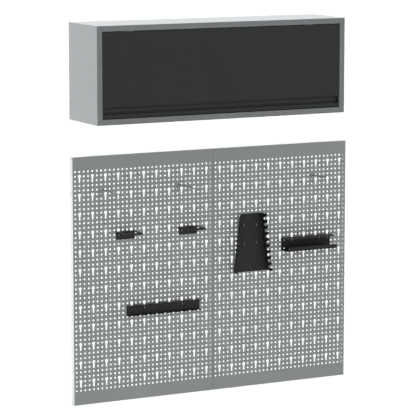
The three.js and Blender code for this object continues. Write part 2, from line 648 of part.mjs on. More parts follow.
function addDrillTray() {
  const x = columnX(RIGHT, TRAY_CENTRE_COLUMN);
  const half = TRAY_WIDTH / 2;
  const top = studZ(TRAY_KEY_ROW) + 11;
  const bottom = top - TRAY_HEIGHT;
  const topTip = PLATE_BACK - TRAY_TOP_REACH;
  const shelfTip = PLATE_BACK - TRAY_SHELF_REACH;
  const holes = Array.from({ length: TRAY_HOLES }, (_, i) => polygon(
    x + (i - (TRAY_HOLES - 1) / 2) * TRAY_HOLE_PITCH, (topTip + PLATE_FRONT) / 2,
    TRAY_HOLE_RADIUS, 8));
  const topFlange = prism('z', [[x - half, topTip], [x + half, topTip], [x + half, PLATE_BACK],
    [x - half, PLATE_BACK]], top - PLATE, top, holes);
  const body = union(
    box(x - half, x + half, PLATE_FRONT, PLATE_BACK, bottom, top),
    topFlange,
    box(x - half, x + half, shelfTip, PLATE_BACK, bottom, bottom + PLATE),
    box(x - half, x + half, shelfTip, shelfTip + PLATE, bottom, bottom + TRAY_LIP),
  );
  addHolder('drill_tray', body, TRAY_COLUMNS.map((c) => ({
    x: columnX(RIGHT, c), z: studZ(TRAY_KEY_ROW),
  })));
}

// ---- Wire hooks ----
const WIRE_RADIUS = 2.3;
const HOOK_TAIL = 11;             // upturned tail behind the panel
const HOOK_TIP_RISE = 16;
const HOOK_LEG = 25;

function wireHook({ panel, column, row, reach }) {
  const x = columnX(panel, column);
  const z = rowZ(row);
  const behind = PANEL_BACK_OF_FACE + 6;
  const tip = PANEL_FACE - reach;
  const path = new THREE.CatmullRomCurve3([
    [behind, HOOK_TAIL], [behind, 6], [behind - 1.6, 1.6], [behind - 6, 0],
    [PANEL_FACE - 6, 0], [tip + 40, 0], [tip + 20, 0], [tip + 12, 1.4], [tip, HOOK_TIP_RISE],
  ].map(([y, rise]) => new THREE.Vector3(x, y, z + rise)), false, 'centripetal');
  const section = new THREE.Shape(polygon(0, 0, WIRE_RADIUS, 8)
    .map(([u, v]) => new THREE.Vector2(u, v)));
  const wire = new THREE.ExtrudeGeometry(section, {
    steps: 28, bevelEnabled: false, extrudePath: path,
  });
  const legY = PANEL_FACE - WIRE_RADIUS - 0.4;
  const leg = rod('z', x, legY, z - HOOK_LEG, z, WIRE_RADIUS);
  return union(solid(wire), leg);
}

function buildAccessories() {
  for (const hook of HOOKS) {
    addMesh(hook.name, wireHook(hook), zincSteel);
  }
  addPlierHolder('plier_holder_left', [10, 13]);
  addPlierHolder('plier_holder_right', [25, 28]);
  addScrewdriverRack();
  addSpannerHolder();
  addDrillTray();
}

buildCabinet();
buildDoor();
buildBumpers();
buildHinges();
buildStays();
buildPegboards();
buildAccessories();

export default root;
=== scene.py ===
import json
import math

import bmesh
import bpy
from mathutils import Matrix, Vector
from mathutils.geometry import tessellate_polygon


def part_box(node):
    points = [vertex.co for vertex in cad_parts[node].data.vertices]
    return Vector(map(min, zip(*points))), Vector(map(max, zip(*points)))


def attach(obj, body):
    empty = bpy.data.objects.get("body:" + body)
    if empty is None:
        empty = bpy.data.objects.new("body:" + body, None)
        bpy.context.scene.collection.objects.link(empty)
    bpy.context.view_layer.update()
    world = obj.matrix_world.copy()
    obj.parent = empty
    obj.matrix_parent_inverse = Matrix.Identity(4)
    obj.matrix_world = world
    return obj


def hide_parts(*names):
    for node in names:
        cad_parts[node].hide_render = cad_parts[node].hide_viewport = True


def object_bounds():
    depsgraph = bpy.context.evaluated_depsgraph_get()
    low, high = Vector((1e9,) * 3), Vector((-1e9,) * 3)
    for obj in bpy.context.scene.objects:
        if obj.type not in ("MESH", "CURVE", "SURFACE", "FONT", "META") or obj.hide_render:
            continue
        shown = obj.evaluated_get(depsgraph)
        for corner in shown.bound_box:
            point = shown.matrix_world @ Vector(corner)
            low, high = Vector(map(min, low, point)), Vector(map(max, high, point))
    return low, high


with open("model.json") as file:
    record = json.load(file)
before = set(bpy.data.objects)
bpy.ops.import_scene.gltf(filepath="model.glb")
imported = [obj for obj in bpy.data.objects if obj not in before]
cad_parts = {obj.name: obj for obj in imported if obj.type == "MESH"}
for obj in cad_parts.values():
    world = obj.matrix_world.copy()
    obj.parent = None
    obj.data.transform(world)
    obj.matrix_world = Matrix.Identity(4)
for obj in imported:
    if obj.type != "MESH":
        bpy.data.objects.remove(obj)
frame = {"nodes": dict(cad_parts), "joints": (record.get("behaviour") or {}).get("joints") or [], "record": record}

# Pegboard tool wall. Metres, +X right, +Z up, the wall is the plane y = 0.
CAD_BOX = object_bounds()
MM = 0.001
SHARP_EDGE = math.radians(35)    # a smoothed mesh keeps its edges sharper than this
BEVEL_EDGE = math.radians(40)    # and a softened piece rounds those sharper than this
X, Y, Z = Vector((1, 0, 0)), Vector((0, 1, 0)), Vector((0, 0, 1))


# ---------------------------------------------------------------- materials
class Nodes:
    """A material's node tree, with short calls to add and link nodes."""

    def __init__(self, name):
        self.material = bpy.data.materials.new(name)
        self.material.use_nodes = True
        self.tree = self.material.node_tree
        self.shader = self.tree.nodes["Principled BSDF"]
        self.coordinates = self.tree.nodes.new("ShaderNodeTexCoord").outputs["Object"]

    def link(self, source, target):
        self.tree.links.new(source, target)

    def noise(self, scale, detail=2.0, roughness=0.5, stretch=(1, 1, 1)):
        mapping = self.tree.nodes.new("ShaderNodeMapping")
        mapping.inputs["Scale"].default_value = stretch
        self.link(self.coordinates, mapping.inputs["Vector"])
        node = self.tree.nodes.new("ShaderNodeTexNoise")
        node.inputs["Scale"].default_value = scale
        node.inputs["Detail"].default_value = detail
        node.inputs["Roughness"].default_value = roughness
        self.link(mapping.outputs["Vector"], node.inputs["Vector"])
        return node.outputs["Fac"]

    def spread(self, value, low, high):
        """Maps a noise value onto the range from low to high."""
        node = self.tree.nodes.new("ShaderNodeMapRange")
        node.inputs["From Min"].default_value = 0.3
        node.inputs["From Max"].default_value = 0.7
        node.inputs["To Min"].default_value = low
        node.inputs["To Max"].default_value = high
        self.link(value, node.inputs["Value"])
        return node.outputs["Result"]

    def blend(self, factor, first, second):
        node = self.tree.nodes.new("ShaderNodeMix")
        node.data_type = "RGBA"
        self.link(factor, node.inputs["Factor"])
        for socket, value in ((node.inputs[6], first), (node.inputs[7], second)):
            if isinstance(value, tuple):
                socket.default_value = (*value, 1)
            else:
                self.link(value, socket)
        return node.outputs[2]

    def bump(self, height, strength, distance):
        node = self.tree.nodes.new("ShaderNodeBump")
        node.inputs["Strength"].default_value = strength
        node.inputs["Distance"].default_value = distance
        self.link(height, node.inputs["Height"])
        self.link(node.outputs["Normal"], self.shader.inputs["Normal"])


def linear(srgb):
    """A '#rrggbb' colour as linear red, green, blue."""
    parts = [int(srgb[i:i + 2], 16) / 255 for i in (1, 3, 5)]
    return tuple(c / 12.92 if c <= 0.04045 else ((c + 0.055) / 1.055) ** 2.4 for c in parts)


def scaled(color, factor):
    return tuple(min(1.0, c * factor) for c in color)


def powder_coat(name, srgb, roughness, specular, grain=900, depth=0.00008):
    """Baked powder paint: fine orange peel, faint cloudiness and a little unevenness in gloss."""
    n = Nodes(name)
    base = linear(srgb)
    cloud = n.noise(5, 3)
    speck = n.noise(1500, 1)
    shade = n.blend(n.spread(cloud, 0, 1), scaled(base, 0.97), scaled(base, 1.03))
    tint = n.blend(n.spread(speck, 0, 0.35), shade, scaled(base, 0.82))
    n.link(tint, n.shader.inputs["Base Color"])
    n.link(n.spread(n.noise(60, 3), roughness - 0.04, roughness + 0.04),
           n.shader.inputs["Roughness"])
    n.shader.inputs["Specular IOR Level"].default_value = specular
    n.bump(n.noise(grain, 2, 0.6), 0.5, depth)
    return n.material


def zinc(name, srgb, roughness, stretch=(1, 1, 1)):
    """Bright zinc plate: mottled grey metal with fine drawing marks along the stretch."""
    n = Nodes(name)
    base = linear(srgb)
    n.shader.inputs["Metallic"].default_value = 1.0
    mottle = n.noise(220, 4, 0.6)
    tint = n.blend(n.spread(mottle, 0, 1), scaled(base, 0.82), scaled(base, 1.12))
    n.link(tint, n.shader.inputs["Base Color"])
    marks = n.noise(900, 2, 0.5, stretch)
    n.link(n.spread(marks, roughness - 0.08, roughness + 0.1), n.shader.inputs["Roughness"])
    n.bump(marks, 0.25, 0.00005)
    return n.material


def rubber(name):
    n = Nodes(name)
    n.link(n.blend(n.noise(400, 2), (0.018, 0.018, 0.018), (0.035, 0.035, 0.034)),
           n.shader.inputs["Base Color"])
    n.link(n.spread(n.noise(700, 2), 0.75, 0.9), n.shader.inputs["Roughness"])
    n.bump(n.noise(1200, 2), 0.4, 0.0001)
    return n.material


CABINET_PAINT = powder_coat("cabinet_paint", "#6b6f70", 0.33, 0.5)
BOARD_PAINT = powder_coat("pegboard_paint", "#878b8b", 0.5, 0.35)
DOOR_PAINT = powder_coat("door_paint", "#212222", 0.45, 0.25)
HOLDER_PAINT = powder_coat("holder_paint", "#1f2020", 0.5, 0.22)
WIRE_ZINC = zinc("zinc_wire", "#8a8c8f", 0.36, (1, 0.05, 1))
FASTENER_ZINC = zinc("zinc_fastener", "#b4b6b8", 0.3)
STAY_BLACK = powder_coat("stay_black", "#141415", 0.3, 0.5, 500, 0.00003)
BUMPER_RUBBER = rubber("bumper_rubber")
SLOTS = {
    "cabinet_paint": CABINET_PAINT, "pegboard_paint": BOARD_PAINT, "door_paint": DOOR_PAINT,
    "holder_paint": HOLDER_PAINT, "zinc_wire": WIRE_ZINC, "zinc_fastener": FASTENER_ZINC,
    "stay_black": STAY_BLACK, "bumper_rubber": BUMPER_RUBBER,
}


# ---------------------------------------------------------------- mesh helpers
BODY_OF = {node: body for body, nodes in frame["record"]["behaviour"]["bodies"].items()
           for node in nodes}
SLOT_OF = {part["node"]: part["material_slot"] for part in frame["record"]["subparts"]}


def smooth(mesh):
    mesh.polygons.foreach_set("use_smooth", [True] * len(mesh.polygons))
    mesh.set_sharp_from_angle(angle=SHARP_EDGE)


def add_piece(node, mesh):
    """Links a mesh as the detailed piece that stands for a CAD node."""
    piece = bpy.data.objects.new(f"{node}_detail", mesh)
    bpy.context.scene.collection.objects.link(piece)
    mesh.materials.append(SLOTS[SLOT_OF[node]])
    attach(piece, BODY_OF[node])
    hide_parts(node)
    return piece


def mesh_from(bm, name, matrix):
    """Turns a bmesh into a mesh with its faces pointing out, placed by the matrix."""
    bmesh.ops.recalc_face_normals(bm, faces=bm.faces)
    mesh = bpy.data.meshes.new(name)
    bm.to_mesh(mesh)
    bm.free()
    mesh.transform(matrix)
    if matrix.determinant() < 0:
        mesh.flip_normals()
    smooth(mesh)
    return mesh


def soften(piece, width):
    """Rounds the sharp edges of a piece and keeps its flat faces flat."""
    bevel = piece.modifiers.new("edges", "BEVEL")
    bevel.width = width
    bevel.segments = 2
    bevel.limit_method = "ANGLE"
    bevel.angle_limit = BEVEL_EDGE
    flats = piece.modifiers.new("flats", "WEIGHTED_NORMAL")
    flats.keep_sharp = True


def combined(first, second, operation):
    """Two closed meshes joined or cut by an exact boolean."""
    pair = [bpy.data.objects.new("solid", mesh) for mesh in (first, second)]
    for item in pair:
        bpy.context.scene.collection.objects.link(item)
    boolean = pair[0].modifiers.new("combine", "BOOLEAN")
    boolean.operation = operation
    boolean.solver = "EXACT"
    boolean.object = pair[1]
    graph = bpy.context.evaluated_depsgraph_get()
    mesh = bpy.data.meshes.new_from_object(pair[0].evaluated_get(graph))
    for item in pair:
        bpy.data.objects.remove(item)
    smooth(mesh)
    return mesh


def axes(origin, u, v, w):
    """The matrix that takes (u, v, w) in metres to the object's frame."""
    matrix = Matrix((u, v, w)).transposed().to_4x4()
    matrix.translation = origin
    return matrix


def arc(centre, radius, start, end, steps):
    """Points on an arc in degrees, both ends included."""
    return [(centre[0] + radius * math.cos(math.radians(start + (end - start) * i / steps)),
             centre[1] + radius * math.sin(math.radians(start + (end - start) * i / steps)))
            for i in range(steps + 1)]


def circle(centre, radius, sides=24):
    return arc(centre, radius, 0, 360 - 360 / sides, sides - 1)


def upright_slot(centre, half, rise, steps=8):
    """A slot with round ends, half its width and half its height given."""
    u, v = centre
    return arc((u, v + rise - half), half, 0, 180, steps) + arc((u, v - rise + half), half, 180, 360, steps)


def rounded(corners, steps=4):
    """An outline from corners (u, v, radius): each radius above zero becomes an arc."""
    points = []
    for i, (u, v, radius) in enumerate(corners):
        here = Vector((u, v))
        if radius == 0:
            points.append((u, v))
            continue
        before = (Vector(corners[i - 1][:2]) - here).normalized()
        after = (Vector(corners[(i + 1) % len(corners)][:2]) - here).normalized()
        half_angle = before.angle(after) / 2
        centre = here + (before + after).normalized() * (radius / math.sin(half_angle))
        cut = radius / math.tan(half_angle)
        first = here + before * cut - centre
        last = here + after * cut - centre
        start = math.degrees(math.atan2(first.y, first.x))
        turn = (math.degrees(math.atan2(last.y, last.x)) - start + 180) % 360 - 180
        points += arc(centre, radius, start, start + turn, steps)
    return points


def rectangle(left, foot, right, top, radius=0):
    """A rectangle's outline, with its corners rounded by the radius."""
    return rounded([(left, foot, radius), (right, foot, radius), (right, top, radius), (left, top, radius)])


def bridge(bm, rings, sides):
    """Faces between neighbouring rings of vertices. A ring of one vertex closes on that point."""
    for low, high in zip(rings, rings[1:]):
        for i in range(sides):
            j = (i + 1) % sides
            corners = [low[i % len(low)], low[j % len(low)], high[j % len(high)], high[i % len(high)]]
            bm.faces.new(list(dict.fromkeys(corners)))


def turned(name, profile, matrix, sides=32):
    """A body turned about the w axis from (radius, height) points. It closes on the axis."""
    bm = bmesh.new()
    rings = []
    for radius, height in profile:
        if radius == 0:
            rings.append([bm.verts.new((0, 0, height))])
        else:
            rings.append([bm.verts.new((u, v, height)) for u, v in circle((0, 0), radius, sides)])
    bridge(bm, rings, sides)
    return mesh_from(bm, name, matrix)


def swept(name, path, radius, matrix):
    """Round wire along a path of (u, v) points, with round ends."""
    sides = 16
    cap = [(math.sin(math.radians(a)), math.cos(math.radians(a))) for a in (0, 30, 60)]
    points = [Vector(p) for p in path]
    lead, trail = (points[0] - points[1]).normalized(), (points[-1] - points[-2]).normalized()
    stations = [(points[0] + lead * radius * out, -lead, radius * scale) for out, scale in reversed(cap)]
    for before, here, after in zip(points, points[1:], points[2:]):
        stations.append((here, (after - before).normalized(), radius))
    stations += [(points[-1] + trail * radius * out, trail, radius * scale) for out, scale in cap]
    bm = bmesh.new()
    tip = points[0] + lead * radius
    rings = [[bm.verts.new((*tip, 0))]]
    for place, ahead, size in stations:
        across = Vector((-ahead.y, ahead.x))
        rings.append([bm.verts.new((*(place + across * c), s)) for c, s in circle((0, 0), size, sides)])
    end = points[-1] + trail * radius
    rings.append([bm.verts.new((*end, 0))])
    bridge(bm, rings, sides)
    return mesh_from(bm, name, matrix)


# ---------------------------------------------------------------- cut and folded sheet
FOLD_INNER = 1 * MM
FOLD_STEPS = 5
PLATE = 1.5 * MM           # sheet of the tool holders
LOSS = FOLD_INNER + PLATE  # what a fold takes from the outer length on either side of it
ARC = math.pi / 2 * (FOLD_INNER + PLATE / 2)


class Fold:
    """A right-angle fold of a flat sheet along a line, towards +w, past the line along the normal."""

    def __init__(self, origin, normal):
        self.origin = Vector(origin)
        self.normal = Vector(normal).normalized()

    def lines(self):
        return [self.origin + self.normal * (ARC * i / FOLD_STEPS) for i in range(FOLD_STEPS + 1)]

    def moved(self, place):
        past = (place.xy - self.origin).dot(self.normal)
        if past <= 0:
            return place
        turn = math.pi / 2 * min(1, past / ARC)
        beyond = max(0, past - ARC)
        radius = LOSS - place.z
        along = radius * math.sin(turn) + beyond * math.cos(turn)
        height = LOSS - radius * math.cos(turn) + beyond * math.sin(turn)
        flat = place.xy + self.normal * (along - past)
        return Vector((flat.x, flat.y, height))


def cut_plate(name, outline, holes, thickness, matrix, folds=()):
    """A plate cut to an outline with holes, folded (outermost folds first) and placed."""
    loops = [[Vector((u, v, 0)) for u, v in loop] for loop in (outline, *holes)]
    bm = bmesh.new()
    verts = [bm.verts.new(point) for loop in loops for point in loop]
    for triangle in tessellate_polygon(loops):
        bm.faces.new([verts[i] for i in triangle])
    for fold in folds:
        for line in fold.lines():
            bmesh.ops.bisect_plane(bm, geom=bm.verts[:] + bm.edges[:] + bm.faces[:],
                                   plane_co=line.to_3d(), plane_no=fold.normal.to_3d())
    bmesh.ops.recalc_face_normals(bm, faces=bm.faces)
    raised = bmesh.ops.extrude_face_region(bm, geom=bm.faces[:], use_keep_orig=True)["geom"]
    for vert in (item for item in raised if isinstance(item, bmesh.types.BMVert)):
        vert.co.z = thickness
    for vert in bm.verts:
        for fold in folds:
            vert.co = fold.moved(vert.co)
    bmesh.ops.dissolve_limit(bm, angle_limit=math.radians(0.5), verts=bm.verts[:], edges=bm.edges[:])
    return mesh_from(bm, name, matrix)


# ---------------------------------------------------------------- perforated panels
PITCH = 18 * MM
COLUMNS = 33
ROWS = 48
KEY_COLUMNS = range(1, COLUMNS, 3)
KEY_ROWS = range(1, ROWS, 4)
HOLE_RADIUS = 3.9 * MM
KEY_RADIUS = 6.5 * MM
SLOT_HALF = 3.25 * MM
SLOT_END = 24.75 * MM      # slot end below the head's centre
PANEL_SHEET = 1.2 * MM
PANEL_FOLD = 1.6 * MM      # outer radius of the folds round the face
PANEL_LIP = 12 * MM        # return lips above and below, against the wall
PANEL_FOLD_STEPS = 4
HOLE_SIDES = 20


def round_hole(x, z):
    """Outline of a round hole as four quarter arcs: top, right, bottom, left."""
    quarter = HOLE_SIDES // 4
    return [arc((x, z), HOLE_RADIUS, start, start - 90, quarter) for start in (135, 45, -45, -135)]


def keyhole(x, z):
    """Outline of a keyhole, in the same four stretches, round its head's centre."""
    neck = -math.degrees(math.acos(SLOT_HALF / KEY_RADIUS))
    foot = (x, z - SLOT_END + SLOT_HALF)
    right = arc((x, z), KEY_RADIUS, 45, neck, 5) + [(x + SLOT_HALF, foot[1])]
    left = [(x - SLOT_HALF, foot[1])] + arc((x, z), KEY_RADIUS, 180 - neck, 135, 5)
    return [arc((x, z), KEY_RADIUS, 135, 45, 5), right, arc(foot, SLOT_HALF, 0, -180, 6), left]


class Shell:
    """Vertices and faces of a mesh, with vertices shared by place."""

    def __init__(self):
        self.places = {}
        self.vertices = []
        self.faces = []

    def at(self, x, y, z):
        key = (round(x, 7), round(y, 7), round(z, 7))
        if key not in self.places:
            self.places[key] = len(self.vertices)
            self.vertices.append(key)
        return self.places[key]

    def face(self, points):
        indices = []
        for point in points:
            index = self.at(*point)
            if index not in indices:
                indices.append(index)
        self.faces.append(indices)

    def mesh(self, name):
        mesh = bpy.data.meshes.new(name)
        mesh.from_pydata(self.vertices, [], self.faces)
        bm = bmesh.new()
        bm.from_mesh(mesh)
        bmesh.ops.recalc_face_normals(bm, faces=bm.faces)
        bm.to_mesh(mesh)
        bm.free()
        smooth(mesh)
        return mesh


def add_cell(shell, edges, outline, front, back):
    """A cell of the face: its border stretches, joined to the hole's stretches, and the hole's wall."""
    for border, stretch in zip(edges, outline):
        for y in (front, back):
            shell.face([(x, y, z) for x, z in border] + [(x, y, z) for x, z in reversed(stretch)])
        for (xa, za), (xb, zb) in zip(stretch, stretch[1:]):
            shell.face([(xa, front, za), (xb, front, zb), (xb, back, zb), (xa, back, za)])


def add_face(shell, low, high, front, back):
    """The flat perforated face between its folds. Returns the grid's left and top edges."""
    left = (low.x + high.x) / 2 - (COLUMNS - 1) / 2 * PITCH
    top = (low.z + high.z) / 2 + (ROWS - 1) / 2 * PITCH
    half = PITCH / 2
    for column in range(COLUMNS):
        for row in range(ROWS):
            x = left + column * PITCH
            z = top - row * PITCH
            west, east, north, south = x - half, x + half, z + half, z - half
            if column in KEY_COLUMNS and row - 1 in KEY_ROWS:
                continue
            if column in KEY_COLUMNS and row in KEY_ROWS:
                deep = south - PITCH
                edges = [[(west, north), (east, north)], [(east, north), (east, south), (east, deep)],
                         [(east, deep), (west, deep)], [(west, deep), (west, south), (west, north)]]
                add_cell(shell, edges, keyhole(x, z), front, back)
            else:
                corners = [(west, north), (east, north), (east, south), (west, south)]
                edges = [[corners[i], corners[(i + 1) % 4]] for i in range(4)]
                add_cell(shell, edges, round_hole(x, z), front, back)
    return left - half, top + half


def ring(low, high, inset, y):
    """Corners of the panel's outline moved inwards, at depth y."""
    x0, x1, z0, z1 = low.x + inset, high.x - inset, low.z + inset, high.z - inset
    return [(x0, y, z0), (x1, y, z0), (x1, y, z1), (x0, y, z1)]


def add_rings(shell, rings):
    for near, far in zip(rings, rings[1:]):
        for i in range(4):
            j = (i + 1) % 4
            shell.face([near[i], near[j], far[j], far[i]])


def perforated_panel(node):
    low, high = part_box(node)
    front = low.y
    back = front + PANEL_SHEET
    shell = Shell()
    west, north = add_face(shell, low, high, front, back)
    east = west + COLUMNS * PITCH
    south = north - ROWS * PITCH
    xs = [west + i * PITCH for i in range(COLUMNS + 1)]
    zs = [south + i * PITCH for i in range(ROWS + 1)]
    inner = [[(west, z) for z in zs], [(x, north) for x in xs],
             [(east, z) for z in reversed(zs)], [(x, south) for x in reversed(xs)]]
    x0, x1 = low.x + PANEL_FOLD, high.x - PANEL_FOLD
    z0, z1 = low.z + PANEL_FOLD, high.z - PANEL_FOLD
    corners = [(x0, z0), (x0, z1), (x1, z1), (x1, z0)]
    for i, edge in enumerate(inner):
        a, b = corners[i], corners[(i + 1) % 4]
        if (Vector(a) - Vector(edge[0])).length < 1e-6:
            continue
        for y in (front, back):
            shell.face([(x, y, z) for x, z in edge] + [(b[0], y, b[1]), (a[0], y, a[1])])
    outer_rings = []
    inner_rings = []
    for i in range(PANEL_FOLD_STEPS + 1):
        turn = math.radians(90 * i / PANEL_FOLD_STEPS)
        outer_rings.append(ring(low, high, PANEL_FOLD * (1 - math.sin(turn)),
                                front + PANEL_FOLD * (1 - math.cos(turn))))
        small = PANEL_FOLD - PANEL_SHEET
        inner_rings.append(ring(low, high, PANEL_FOLD - small * math.sin(turn),
                                front + PANEL_FOLD - small * math.cos(turn)))
    outer_rings.append(ring(low, high, 0, 0))
    add_rings(shell, outer_rings)
    add_rings(shell, inner_rings)
    add_inner_walls(shell, low, high, inner_rings[-1])
    return shell.mesh(node)


def add_inner_walls(shell, low, high, start):
    """The insides of the folded edges, the lips above and below, and the faces against the wall."""
    t = PANEL_SHEET
    x0, x1, z0, z1 = low.x + t, high.x - t, low.z + t, high.z - t
    lip0, lip1 = low.z + PANEL_LIP, high.z - PANEL_LIP
    y = start[0][1]
    for x in (x0, x1):
        shell.face([(x, y, z0), (x, y, z1), (x, -t, z1), (x, -t, lip1), (x, -t, lip0), (x, -t, z0)])
        shell.face([(x, -t, lip0), (x, -t, lip1), (x, 0, lip1), (x, 0, lip0)])
    for side, lip in ((z0, lip0), (z1, lip1)):
        shell.face([(x0, y, side), (x1, y, side), (x1, -t, side), (x0, -t, side)])
        shell.face([(x0, -t, side), (x1, -t, side), (x1, -t, lip), (x0, -t, lip)])
        shell.face([(x0, -t, lip), (x1, -t, lip), (x1, 0, lip), (x0, 0, lip)])
    outer = ring(low, high, 0, 0)
    hole = [(x0, 0, lip0), (x1, 0, lip0), (x1, 0, lip1), (x0, 0, lip1)]
    for i in range(4):
        j = (i + 1) % 4
        shell.face([outer[i], outer[j], hole[j], hole[i]])


def build_panels():
    for node in ("pegboard_left", "pegboard_right"):
        panel = add_piece(node, perforated_panel(node))
        flats = panel.modifiers.new("flats", "WEIGHTED_NORMAL")
        flats.keep_sharp = True


# ---------------------------------------------------------------- tool holders
TENON_HALF = 0.55 * MM     # a stud's flat tenon, staked in an upright slot in the plate
TENON_RISE = 4.2 * MM
TENON_LENGTH = 2.5 * MM
STUD_HEAD = 5.2 * MM
STUD_HEAD_HEIGHT = 2 * MM
STUD_SHANK = 2.9 * MM
STUD_EDGE = 0.4 * MM
STUD_PAST = 3.4 * MM       # how far a stud's box reaches past the holder's back
SCREW_HOLE = 2.2 * MM


def centre_of(node):
    low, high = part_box(node)
    return (low + high) / 2


def studs_of(node):
    return [name for name in frame["nodes"] if name.startswith(f"{node}_stud_")]


def plate_frame(node):
    """Places a holder's sheet: u to the right from its middle, v up from its foot, w out of the wall."""
    low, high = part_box(node)
    return axes(Vector(((low.x + high.x) / 2, high.y, low.z)), X, Z, -Y)


def tenon_slots(node):
    """Slots for the studs' tenons, and the studs' places on the plate."""
    low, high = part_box(node)
    places = [centre_of(stud) - Vector(((low.x + high.x) / 2, 0, low.z)) for stud in studs_of(node)]
    slots = [upright_slot((p.x, p.z), TENON_HALF + 0.1 * MM, TENON_RISE + 0.1 * MM) for p in places]
    return slots, places


def build_stud(node):
    """A turned stud: flat head behind the panel, shank in the slot, shoulder, and staked tenon."""
    low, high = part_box(node)
    middle = centre_of(node)
    matrix = axes(Vector((middle.x, high.y, middle.z)), X, -Z, -Y)
    holder_back = (high.y - low.y) - STUD_PAST
    shoulder = holder_back - 0.1 * MM
    head, shank, edge, under = STUD_HEAD, STUD_SHANK, STUD_EDGE, STUD_HEAD_HEIGHT
    profile = [(0, 0), (head - edge, 0), (head, edge), (head, under - edge), (head - edge, under),
               (shank + 0.3 * MM, under), (shank, under + 0.3 * MM), (shank, shoulder), (0, shoulder)]
    body = turned(node, profile, matrix)
    foot = axes(Vector((middle.x, high.y - holder_back + 0.6 * MM, middle.z)), X, Z, -Y)
    tenon = cut_plate(node, upright_slot((0, 0), TENON_HALF, TENON_RISE), [], TENON_LENGTH, foot)
    soften(add_piece(node, combined(body, tenon, "UNION")), 0.15 * MM)


PLIER_LIP = 6 * MM
PLIER_CORNER = 3 * MM
PLIER_LIP_CORNER = 2 * MM
WINDOW_SIDE = 11 * MM      # shelf left on either side of the window
WINDOW_BACK = 13.5 * MM    # and behind it
WINDOW_FRONT = 14 * MM


def build_plier_holder(node):
    low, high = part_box(node)
    half, rise, reach = (high.x - low.x) / 2, high.z - low.z, high.y - low.y
    first = rise - LOSS
    second = first + ARC + reach - 2 * LOSS
    end = second + ARC + PLIER_LIP - LOSS
    outline = rounded([(-half, 0, PLIER_CORNER), (half, 0, PLIER_CORNER), (half, end, PLIER_LIP_CORNER),
                       (-half, end, PLIER_LIP_CORNER)])
    start = first + ARC - LOSS
    window = rectangle(WINDOW_SIDE - half, start + WINDOW_BACK, half - WINDOW_SIDE,
                       start + reach - WINDOW_FRONT, PLIER_CORNER)
    slots, places = tenon_slots(node)
    middle = circle((0, places[0].z), SCREW_HOLE, 16)
    folds = [Fold((0, second), (0, 1)), Fold((0, first), (0, 1))]
    mesh = cut_plate(node, outline, [window, middle, *slots], PLATE, plate_frame(node), folds)
    soften(add_piece(node, mesh), 0.25 * MM)


RACK_NOTCHES = 9
RACK_PITCH = 35 * MM
RACK_NOTCH = 9 * MM
RACK_HOLE_STEP = 14.5 * MM # small holes on either side of each stud
RACK_HOLE = 1.7 * MM


def build_screwdriver_rack(node):
    low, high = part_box(node)
    half, rise, reach = (high.x - low.x) / 2, high.z - low.z, high.y - low.y
    tip = reach - 2 * LOSS + ARC
    top, foot = rise + tip, -tip
    centres = [(i - (RACK_NOTCHES - 1) / 2) * RACK_PITCH for i in range(RACK_NOTCHES)]
    outline = [(-half, foot)]
    for centre in centres:
        outline += arc((centre, foot), RACK_NOTCH, 180, 0, 12)
    outline += [(half, foot), (half, top)]
    for centre in reversed(centres):
        outline += arc((centre, top), RACK_NOTCH, 0, -180, 12)
    outline.append((-half, top))
    slots, places = tenon_slots(node)
    small = [circle((p.x + side * RACK_HOLE_STEP, p.z), RACK_HOLE, 16)
             for p in places for side in (-1, 1)]
    folds = [Fold((0, rise - LOSS), (0, 1)), Fold((0, LOSS), (0, -1))]
    mesh = cut_plate(node, outline, small + slots, PLATE, plate_frame(node), folds)
    soften(add_piece(node, mesh), 0.25 * MM)


TRAY_LIP = 17 * MM
TRAY_TOP_REACH = 48 * MM
TRAY_HOLES = 9
TRAY_HOLE_PITCH = 22 * MM
TRAY_HOLE = 5 * MM
TRAY_CORNER = 3 * MM


def build_drill_tray(node):
    low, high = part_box(node)
    half, rise, reach = (high.x - low.x) / 2, high.z - low.z, high.y - low.y
    top_fold = rise - LOSS
    top = top_fold + ARC + TRAY_TOP_REACH - LOSS
    lip_fold = LOSS - ARC - (reach - 2 * LOSS)
    foot = lip_fold - ARC - (TRAY_LIP - LOSS)
    outline = rectangle(-half, foot, half, top, TRAY_CORNER)
    hole_line = top_fold + ARC + (TRAY_TOP_REACH + PLATE) / 2 - LOSS
    holes = [circle(((i - (TRAY_HOLES - 1) / 2) * TRAY_HOLE_PITCH, hole_line), TRAY_HOLE)
             for i in range(TRAY_HOLES)]
    slots, places = tenon_slots(node)
    for place in places:
        holes.append(circle((place.x - 2 * PITCH, place.z), SCREW_HOLE, 16))
        holes.append(circle((place.x - PITCH, place.z), 1.3 * MM, 12))
    holes.append(circle((places[0].x - 2 * PITCH, 6.5 * MM), 2.6 * MM, 16))
    folds = [Fold((0, lip_fold), (0, -1)), Fold((0, LOSS), (0, -1)), Fold((0, top_fold), (0, 1))]
    mesh = cut_plate(node, outline, holes + slots, PLATE, plate_frame(node), folds)
    soften(add_piece(node, mesh), 0.25 * MM)


SPANNER_TOP_HALF = 46.5 * MM
SPANNER_FLARE = 5 * MM     # how far the flanges' free edges stand outwards
SPANNER_SLOTS = 9
SPANNER_PITCH = 24.4 * MM
SPANNER_MOUTH = 15 * MM    # height of a slot at the free edge
SPANNER_FLOOR = 9 * MM     # and at its inner end
SPANNER_DEPTH = 24 * MM
SPANNER_FALL = 10 * MM
SPANNER_FIRST = 8 * MM     # from the top edge down to the first slot's mouth
TOOTH_ROUND = 1.5 * MM
FLOOR_ROUND = 3.5 * MM


